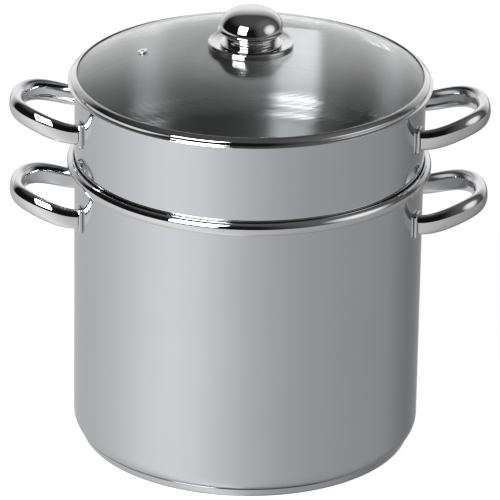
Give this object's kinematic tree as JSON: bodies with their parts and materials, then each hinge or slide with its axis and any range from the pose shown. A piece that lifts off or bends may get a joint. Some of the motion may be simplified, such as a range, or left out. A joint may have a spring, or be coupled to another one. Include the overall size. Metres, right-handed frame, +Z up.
{
  "type": "water bath canner",
  "caption": "Tall steel stock pot with a lift-out perforated jar basket, domed glass lid with steel rim and knob, and looped side handles on pot and basket.",
  "frame": {"origin": "centre of the pot's base, on the surface it stands on", "axes": "+Z up along the pot's axis; +X and -X through the handles; -Y is the front"},
  "size_m": [0.3566, 0.2712, 0.3395],
  "materials": {
    "satin_steel": "satin polished stainless steel",
    "basket_steel": "satin outside, brushed inside",
    "polished_steel": "mirror polished stainless steel",
    "core_aluminium": "plain",
    "lid_glass": "clear tempered glass",
    "silicone": "matt"
  },
  "bodies": {
    "lower_pot": {"lower_pot_shell": "satin_steel", "base_core_disc": "core_aluminium", "base_cap": "satin_steel", "lower_handle_left": "polished_steel", "lower_handle_right": "polished_steel", "lower_left_foot_front": "polished_steel", "lower_left_foot_rear": "polished_steel", "lower_right_foot_front": "polished_steel", "lower_right_foot_rear": "polished_steel"},
    "basket": {"basket_insert": "basket_steel", "upper_handle_left": "polished_steel", "upper_handle_right": "polished_steel", "upper_left_foot_front": "polished_steel", "upper_left_foot_rear": "polished_steel", "upper_right_foot_front": "polished_steel", "upper_right_foot_rear": "polished_steel"},
    "lid": {"lid_glass": "lid_glass", "lid_rim_band": "polished_steel", "vent_eyelet": "polished_steel", "knob_head": "polished_steel", "knob_neck": "polished_steel", "knob_guard_plate": "polished_steel", "knob_gasket": "silicone", "under_glass_gasket": "silicone", "screw_washer": "polished_steel", "knob_screw": "polished_steel"}
  },
  "joints": [
    {"name": "basket_lift", "type": "slide", "parent": "lower_pot", "child": "basket", "axis": [0, 0, 1], "range_m": [0, 0.2]},
    {"name": "lid_lift", "type": "slide", "parent": "basket", "child": "lid", "axis": [0, 0, 1], "range_m": [0, 0.1]}
  ]
}
